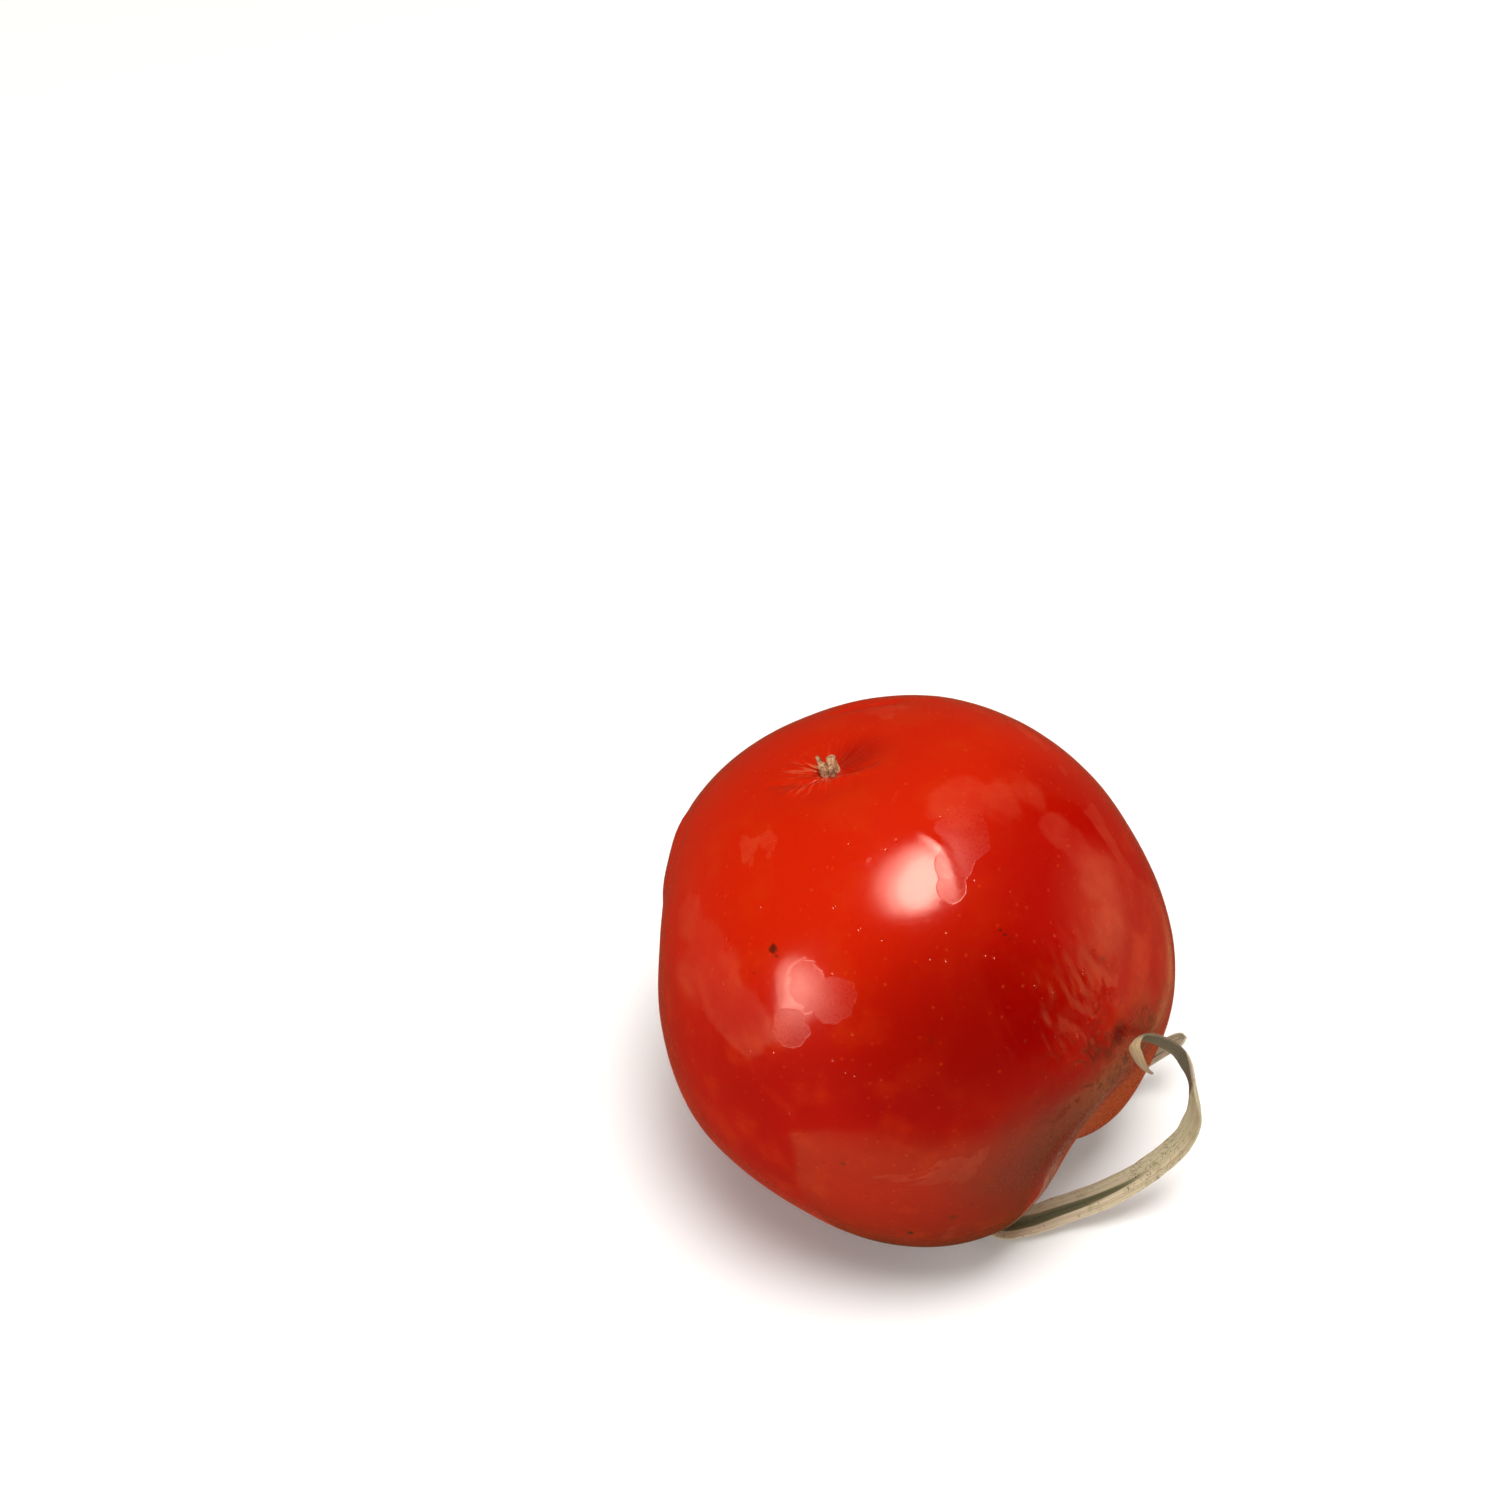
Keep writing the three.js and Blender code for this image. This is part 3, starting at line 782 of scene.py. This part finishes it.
def straw_material(name, tones, greenness, furrow_end, cracked_at, shade_from=2.0, shade_to=3.0):
    """Dried leaf: long fibres, a darker midrib, cracks across and brown spots.
    The midrib's channel and the inner side carry painted shade. Shares of its
    length say where the furrow ends, where it has cracked, and from where to
    where painted shade darkens the inner side, which is nowhere unless they are given."""
    material, tree, shader = new_material(name)
    leaf = node(tree, "UVMap", {"uv_map": "along_leaf"}).outputs[0]
    where = node(tree, "TexCoord").outputs["Object"]
    axes = node(tree, "SeparateXYZ", Vector=leaf).outputs
    across, along = axes[0], axes[1]
    ramp = node(tree, "ValToRGB", Fac=along)
    while len(ramp.color_ramp.elements) < len(tones):
        ramp.color_ramp.elements.new(0.5)
    for element, (place, tone) in zip(ramp.color_ramp.elements, tones):
        element.position = place
        element.color = toned(*tone)
    straw = ramp.outputs["Color"]
    stretched = node(tree, "Mapping", Vector=leaf)
    stretched.inputs["Scale"].default_value = (34, 5, 1)
    fibres = grain(tree, stretched.outputs[0], 1.0, 4.0, 0.6, 0.3)
    threads = node(tree, "Mapping", Vector=leaf)
    threads.inputs["Scale"].default_value = (95, 9, 1)
    thread = grain(tree, threads.outputs[0], 1.0, 2.0, 0.5, 0.2)
    blotch = grain(tree, where, 420, 4.0, 0.65)
    speck = grain(tree, where, 2300, 3.0, 0.6)
    straw = tinted(tree, straw, remap(tree, fibres, 0.60, 0.36), 0.45, LEAF_TONES["between fibres"])
    straw = tinted(tree, straw, remap(tree, thread, 0.52, 0.70), 0.45, LEAF_TONES["thread"])
    straw = tinted(tree, straw, remap(tree, blotch, 0.52, 0.72), greenness, LEAF_TONES["green"])
    # The midrib's furrow, still green and darkened further as painted shade in its channel, and the browner
    # half beside it.
    centre = maths(tree, "ABSOLUTE", maths(tree, "SUBTRACT", across, 0.5))
    wobble = maths(tree, "MULTIPLY", maths(tree, "SUBTRACT", fibres, 0.5), 0.10)
    narrowing = remap(tree, along, furrow_end, 0.08, 0.24, 0.0, "LINEAR")
    rib = remap(tree, maths(tree, "ADD", maths(tree, "ADD", centre, wobble), narrowing), 0.31, 0.26)
    rib = maths(tree, "MULTIPLY", rib, remap(tree, along, furrow_end, furrow_end - 0.08))
    straw = tinted(tree, straw, rib, 0.88, LEAF_TONES["furrow"])
    browner = remap(tree, along, furrow_end + 0.02, 0.10)
    browner = maths(tree, "MULTIPLY", remap(tree, across, 0.62, 0.70), browner)
    straw = tinted(tree, straw, browner, 0.62, LEAF_TONES["brown half"])
    # Painted shade on the inner side, where the twisted leaf turns from the light, in a strip that starts
    # on the inner half.
    skewed = maths(tree, "ADD", along, maths(tree, "MULTIPLY", maths(tree, "SUBTRACT", across, 0.62), 0.15))
    skewed = maths(tree, "ADD", skewed, maths(tree, "MULTIPLY", wobble, 0.25))
    shade_band = maths(tree, "MULTIPLY", remap(tree, skewed, shade_from, shade_from + 0.015),
                  remap(tree, along, shade_to, shade_to - 0.025))
    straw = tinted(tree, straw, shade_band, 0.86, LEAF_TONES["inner side shade"])
    # Cracks across the leaf where it has bent.
    banded = node(tree, "Mapping", Vector=leaf)
    banded.inputs["Scale"].default_value = (5, 80, 1)
    bands = grain(tree, banded.outputs[0], 1.0, 2.0, 0.5, 0.4)
    off_band = maths(tree, "ABSOLUTE", maths(tree, "SUBTRACT", bands, 0.5))
    crack = remap(tree, off_band, 0.022, 0.004)
    bent = maths(tree, "ABSOLUTE", maths(tree, "SUBTRACT", along, cracked_at))
    crack = maths(tree, "MULTIPLY", crack, remap(tree, bent, 0.09, 0.01))
    straw = tinted(tree, straw, crack, 0.75, LEAF_TONES["crack"])
    spots = maths(tree, "MULTIPLY", remap(tree, speck, 0.62, 0.70), remap(tree, blotch, 0.42, 0.55))
    straw = tinted(tree, straw, spots, 0.8, LEAF_TONES["spot"])
    put(tree, shader.inputs["Base Color"], straw)
    put(tree, shader.inputs["Roughness"], remap(tree, fibres, 0.3, 0.7, 0.55, 0.80))
    shader.inputs["Specular IOR Level"].default_value = 0.35
    shader.inputs["Sheen Weight"].default_value = 0.08
    relief = maths(tree, "ADD", maths(tree, "MULTIPLY", fibres, 0.8), maths(tree, "MULTIPLY", thread, 0.5))
    relief = maths(tree, "SUBTRACT", relief, maths(tree, "MULTIPLY", crack, 0.8))
    roughened(tree, shader, relief, 0.7, 0.12 * MM)
    return material


def folded_low_down(along):
    """The midrib's furrow is deep where the leaf comes out from the fruit."""
    return smooth_step(0.34 - along, 0.0, 0.2)


straw_inside = straw_material(
    "straw_inside", STRAW_TONES, greenness=0.5, furrow_end=0.34, cracked_at=0.335,
    shade_from=0.53, shade_to=0.83)
straw_outside = straw_material(
    "straw_outside", STRAW_TONES, greenness=0.3, furrow_end=0.12, cracked_at=0.335,
    shade_from=0.53, shade_to=0.83)
long_sepal = sepal_ribbon(
    "long_sepal", LONG_SEPAL, rows=200, columns=22, thickness=0.34, furrow=folded_low_down, seed=1.7)
long_sepal.data.materials.append(straw_outside)
long_sepal.data.materials.append(straw_inside)
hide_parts("sepal_1")
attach(long_sepal, "root")

# ------------------------------------------------------- the second long sepal
# A second leaf of the calyx, greyer and shorter, that runs out behind the
# first and ends bluntly at the right of the fruit.

SECOND_SEPAL = [
    ((14.4, -6.0, 5.4), (-0.3, 0.1, 0.9), 3.2),
    ((18.4, -3.2, 3.6), (-0.2, 0.1, 0.9), 3.4),
    ((24.0, 2.6, 3.0), (-0.2, 0.0, 0.9), 3.3),
    ((29.2, 7.0, 4.8), (-0.4, 0.0, 0.9), 3.0),
    ((33.8, 9.3, 7.8), (-0.6, -0.2, 0.7), 2.6),
    ((38.0, 9.9, 12.0), (-0.7, -0.4, 0.5), 2.3),
]
GREY_TONES = [
    (0.0, (0.20, 0.13, 0.07)),
    (0.3, (0.40, 0.32, 0.20)),
    (0.8, (0.52, 0.46, 0.32)),
    (1.0, (0.50, 0.45, 0.33)),
]


def folded_all_along(along):
    return 0.6


grey_straw = straw_material("grey_straw", GREY_TONES, greenness=0.6, furrow_end=0.9, cracked_at=0.6)
second_sepal = sepal_ribbon(
    "second_sepal", SECOND_SEPAL, rows=70, columns=18, thickness=0.32, furrow=folded_all_along, seed=5.3,
    rounded_from=0.90)
second_sepal.data.materials.append(grey_straw)
second_sepal.data.materials.append(grey_straw)
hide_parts("sepal_2")
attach(second_sepal, "root")

# ------------------------------------------------------- the shrivelled sepals
# The three other leaves of the calyx, shrivelled to short dark curls inside
# the hollow round the stalk, each grown from the calyx disc.

SHORT_SEPALS = {
    "sepal_3": [
        ((12.0, -2.7, 4.2), (-0.2, -0.3, 0.9), 2.6),
        ((12.6, -0.3, 3.0), (-0.1, -0.4, 0.9), 2.7),
        ((12.8, 2.0, 1.9), (0.0, -0.2, 1.0), 2.2),
        ((12.6, 3.8, 1.0), (0.1, 0.5, 0.9), 1.2),
    ],
    "sepal_4": [
        ((8.1, -4.9, 3.7), (0.6, -0.4, 0.8), 2.3),
        ((7.0, -4.4, 2.6), (0.8, -0.4, 0.5), 2.3),
        ((6.3, -4.0, 1.6), (0.9, -0.4, 0.2), 1.8),
        ((6.3, -3.9, 0.7), (0.9, -0.4, -0.2), 1.0),
    ],
    "sepal_5": [
        ((7.8, -9.1, 3.9), (0.5, 0.5, 0.8), 2.5),
        ((6.5, -10.6, 2.7), (0.5, 0.5, 0.8), 2.6),
        ((5.3, -12.2, 1.7), (0.4, 0.4, 0.9), 2.1),
        ((4.4, -13.6, 1.0), (0.3, 0.2, 0.9), 1.1),
    ],
}
BROWN_TONES = [
    (0.0, (0.16, 0.12, 0.05)),
    (0.5, (0.26, 0.19, 0.09)),
    (1.0, (0.14, 0.08, 0.04)),
]

brown_leaf = straw_material("brown_leaf", BROWN_TONES, greenness=0.4, furrow_end=0.8, cracked_at=0.6)
for number, (node_name, stations) in enumerate(SHORT_SEPALS.items()):
    curl = sepal_ribbon("short_" + node_name, stations, rows=30, columns=14, thickness=0.30,
                        furrow=folded_all_along, seed=8.1 + number)
    curl.data.materials.append(brown_leaf)
    curl.data.materials.append(brown_leaf)
    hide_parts(node_name)
    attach(curl, "root")

# --------------------------------------------------- the calyx disc and stalk
# The small woody disc that every sepal grows from, and the stub of the stalk
# below it, broken off at its knuckle, with ridges along it.


def weathered_copy(name, source, relief):
    """A merged, finer copy of a plain CAD piece, roughened along its normals."""
    plain = bmesh.new()
    plain.from_mesh(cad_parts[source].data)
    bmesh.ops.remove_doubles(plain, verts=plain.verts, dist=1e-6)
    bmesh.ops.join_triangles(
        plain, faces=plain.faces, angle_face_threshold=math.radians(40),
        angle_shape_threshold=math.radians(60))
    for layer in list(plain.loops.layers.uv.values()):
        plain.loops.layers.uv.remove(layer)
    made = subdivided(finish_mesh(name, plain), 3)
    rough = bmesh.new()
    rough.from_mesh(made.data)
    rough.normal_update()
    moves = [vert.normal * (relief(vert.co) * MM) for vert in rough.verts]
    for vert, move in zip(rough.verts, moves):
        vert.co += move
    rough.to_mesh(made.data)
    rough.free()
    for face in made.data.polygons:
        face.use_smooth = True
    return made


STALK_RIDGES = 7


def stalk_relief(point):
    """Ridges that run along the stalk, and a finer grain over them."""
    low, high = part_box("pedicel_stub")
    out = point - (low + high) / 2
    turn = math.atan2(out.dot(across_right), out.dot(across_front))
    ridges = 0.09 * math.cos(STALK_RIDGES * turn)
    return ridges + 0.10 * noise.noise(point / (0.9 * MM)) + 0.05 * noise.noise(point / (0.35 * MM))


def disc_relief(point):
    return 0.14 * noise.noise(point / (1.1 * MM)) + 0.06 * noise.noise(point / (0.4 * MM))


WEATHERED = (0.52, 0.44, 0.28)


def woody_material(name, dark, light):
    material, tree, shader = new_material(name)
    where = node(tree, "TexCoord").outputs["Object"]
    along = node(tree, "Mapping", Vector=where)
    along.inputs["Rotation"].default_value = Matrix((across_front, across_right, blossom_end)).to_euler()
    along.inputs["Scale"].default_value = (1.0, 1.0, 0.25)
    bark = grain(tree, along.outputs[0], 1500, 4.0, 0.65)
    fine = grain(tree, where, 4200, 3.0, 0.6)
    tone = tinted(tree, toned(*dark), remap(tree, bark, 0.35, 0.65), 1.0, light)
    tone = tinted(tree, tone, remap(tree, fine, 0.58, 0.72), 0.6, WEATHERED)
    put(tree, shader.inputs["Base Color"], tone)
    put(tree, shader.inputs["Roughness"], remap(tree, bark, 0.3, 0.7, 0.65, 0.90))
    roughened(tree, shader, maths(tree, "ADD", bark, fine), 0.7, 0.12 * MM)
    return material


stalk = weathered_copy("stalk_stub", "pedicel_stub", stalk_relief)
stalk.data.materials.append(
    woody_material("dry_stalk", dark=(0.10, 0.075, 0.025), light=(0.30, 0.26, 0.11)))
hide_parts("pedicel_stub")
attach(stalk, "root")

disc = weathered_copy("calyx_base", "calyx_disc", disc_relief)
disc.data.materials.append(
    woody_material("dry_calyx", dark=(0.09, 0.075, 0.02), light=(0.26, 0.24, 0.09)))
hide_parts("calyx_disc")
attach(disc, "root")

# ------------------------------------------------- the surface and the light
# A pale table top, a soft light overhead, another like a window at the front
# left, and two dim fills. The fruit's gloss doesn't see the wide table top,
# but a smaller card of it in front, and a warm card far off at the right.

floor_mesh = bmesh.new()
bmesh.ops.create_grid(floor_mesh, x_segments=1, y_segments=1, size=6)
floor = finish_mesh("table_top", floor_mesh)
floor_material, floor_tree, floor_shader = new_material("pale_table")
floor_where = node(floor_tree, "TexCoord").outputs["Object"]
floor_grain = grain(floor_tree, floor_where, 9, 3.0)
floor_tone = mixed(floor_tree, floor_grain, toned(0.86, 0.88, 0.89), toned(0.83, 0.85, 0.86))
put(floor_tree, floor_shader.inputs["Base Color"], floor_tone)
floor_shader.inputs["Roughness"].default_value = 0.8
# Far from the fruit the table keeps its pale tone, past the lights' reach.
floor_away = node(floor_tree, "VectorMath", {"operation": "LENGTH"})
put(floor_tree, floor_away.inputs[0], floor_where)
floor_shader.inputs["Emission Color"].default_value = toned(1.0, 0.99, 0.97)
put(floor_tree, floor_shader.inputs["Emission Strength"],
    remap(floor_tree, floor_away.outputs["Value"], 0.25, 1.3, 0.08, 0.85))
floor.data.materials.append(floor_material)
floor.visible_glossy = False

# Corners of the card in metres, from beside the fruit round its front.
TABLE_CARD = [
    (-0.016, -0.026), (-0.032, -0.046), (-0.048, -0.060), (-0.044, -0.084), (-0.018, -0.112),
    (0.015, -0.122), (0.044, -0.110), (0.30, -0.120), (0.30, 0.12), (0.07, 0.07),
    (0.056, 0.03), (0.056, -0.012), (0.042, -0.026), (0.0, -0.012),
]


def gloss_card(name, corners, tint, centre, near_by, far_off=None):
    """A glowing card that only shows as a reflection. near_by holds two
    distances from its centre and the strength at each. far_off holds two
    more, with what the strength is multiplied by at each."""
    outline = bmesh.new()
    verts = [outline.verts.new(corner) for corner in corners]
    bmesh.ops.contextual_create(outline, geom=verts)
    card = finish_mesh(name, outline, smooth=False)
    glow = bpy.data.materials.new(name)
    glow.use_nodes = True
    tree = glow.node_tree
    tree.nodes.clear()
    away = node(tree, "VectorMath", {"operation": "DISTANCE"})
    put(tree, away.inputs[0], node(tree, "TexCoord").outputs["Object"])
    away.inputs[1].default_value = centre
    share = remap(tree, away.outputs["Value"], *near_by)
    if far_off:
        share = maths(tree, "MULTIPLY", share, remap(tree, away.outputs["Value"], *far_off))
    emission = node(tree, "Emission", Color=tint, Strength=share)
    output = node(tree, "OutputMaterial")
    tree.links.new(emission.outputs[0], output.inputs[0])
    card.data.materials.append(glow)
    card.visible_camera = card.visible_diffuse = card.visible_shadow = False
    card.visible_transmission = False


# The table card dims towards the fruit's foot: a painted shadow of the fruit on the table it stands for.
gloss_card("table_card", [(x, y, 0.0004) for x, y in TABLE_CARD], toned(1.0, 0.95, 0.38),
           (0, 0, 0), (0.022, 0.085, 0.05, 0.66), (0.070, 0.120, 1.0, 0.25))
gloss_card("right_card", [(0.5, -0.6, 0.002), (0.5, 0.6, 0.002), (0.5, 0.6, 0.6), (0.5, -0.6, 0.6)],
           toned(1.0, 0.78, 0.36), (0.5, 0.07, 0.02), (0.10, 0.38, 1.05, 0.0))


def soft_light(name, direction, distance, size, radiance, tint, roll=0, shape="RECTANGLE"):
    """A soft box that looks at the fruit from the given direction."""
    lamp = bpy.data.lights.new(name, "AREA")
    lamp.shape = shape
    lamp.size, lamp.size_y = size
    area = size[0] * size[1] * (math.pi / 4 if shape == "ELLIPSE" else 1)
    lamp.energy = radiance * math.pi * area
    lamp.color = tint
    holder = bpy.data.objects.new(name, lamp)
    towards = Vector(direction).normalized()
    holder.location = fruit_centre + distance * towards
    holder.rotation_mode = "QUATERNION"
    turn = Quaternion((0, 0, 1), math.radians(roll))
    holder.rotation_quaternion = towards.to_track_quat("Z", "Y") @ turn
    bpy.context.scene.collection.objects.link(holder)
    return holder


# Three soft ellipses make the overhead light, each smaller, brighter and
# further right than the one before. Three more make the window.
for name, direction, size, radiance in (
        ("overhead_box", (0.03, -0.20, 0.98), (0.64, 0.42), 4.6),
        ("overhead_middle", (0.06, -0.22, 0.97), (0.52, 0.34), 6.5),
        ("overhead_core", (0.10, -0.24, 0.965), (0.38, 0.26), 10.0)):
    soft_light(name, direction, 0.87, size, radiance, (1.0, 0.98, 0.95), roll=40, shape="ELLIPSE")
for name, direction, size, radiance, tint in (
        ("window_box", (-0.71, -0.64, 0.25), (0.40, 0.44), 5.5, (1.0, 0.96, 0.90)),
        ("window_core", (-0.69, -0.66, 0.29), (0.25, 0.30), 10.0, (1.0, 0.96, 0.90)),
        ("window_foot", (-0.745, -0.665, 0.03), (0.13, 0.24), 5.0, (1.0, 0.95, 0.88))):
    soft_light(name, direction, 1.0, size, radiance, tint, shape="ELLIPSE")
# The fills light the fruit but don't show in its gloss.
for name, direction, radiance in (
        ("right_fill", (0.85, 0.15, 0.45), 1.4),
        ("back_fill", (0.0, 0.62, 0.75), 0.9)):
    fill = soft_light(name, direction, 1.0, (0.9, 0.9), radiance, (1.0, 0.94, 0.86))
    fill.visible_glossy = False

# The gloss sees ruddy surroundings, the view a pale wall, and the rest is dim.
world = bpy.data.worlds.new("studio")
world.use_nodes = True
sky = world.node_tree
sky.nodes.clear()
dim = node(sky, "Background", Color=toned(1.0, 0.85, 0.80), Strength=0.13)
ruddy = node(sky, "Background", Color=toned(1.0, 0.26, 0.13), Strength=0.28)
pale = node(sky, "Background", Color=toned(0.93, 0.93, 0.93), Strength=0.9)
rays = node(sky, "LightPath").outputs
reflected = node(sky, "MixShader")
sky.links.new(rays["Is Glossy Ray"], reflected.inputs[0])
sky.links.new(dim.outputs[0], reflected.inputs[1])
sky.links.new(ruddy.outputs[0], reflected.inputs[2])
either = node(sky, "MixShader")
sky.links.new(rays["Is Camera Ray"], either.inputs[0])
sky.links.new(reflected.outputs[0], either.inputs[1])
sky.links.new(pale.outputs[0], either.inputs[2])
sky.links.new(either.outputs[0], node(sky, "OutputWorld").inputs[0])
bpy.context.scene.world = world
bpy.context.scene.view_settings.view_transform = "Standard"

# The camera looks down on the fruit at about 49 degrees, and is aimed past
# its upper left.
camera_data = bpy.data.cameras.new("camera")
camera_data.sensor_width = 36
camera_data.lens = 80.6
camera_data.clip_start = 0.01
camera = bpy.data.objects.new("camera", camera_data)
camera.location = (0, -0.295, 0.374)
aim = Vector((-0.0253, 0.0393, 0.0345)) - camera.location
camera.rotation_mode = "QUATERNION"
camera.rotation_quaternion = aim.to_track_quat("-Z", "Y")
bpy.context.scene.collection.objects.link(camera)
bpy.context.scene.camera = camera
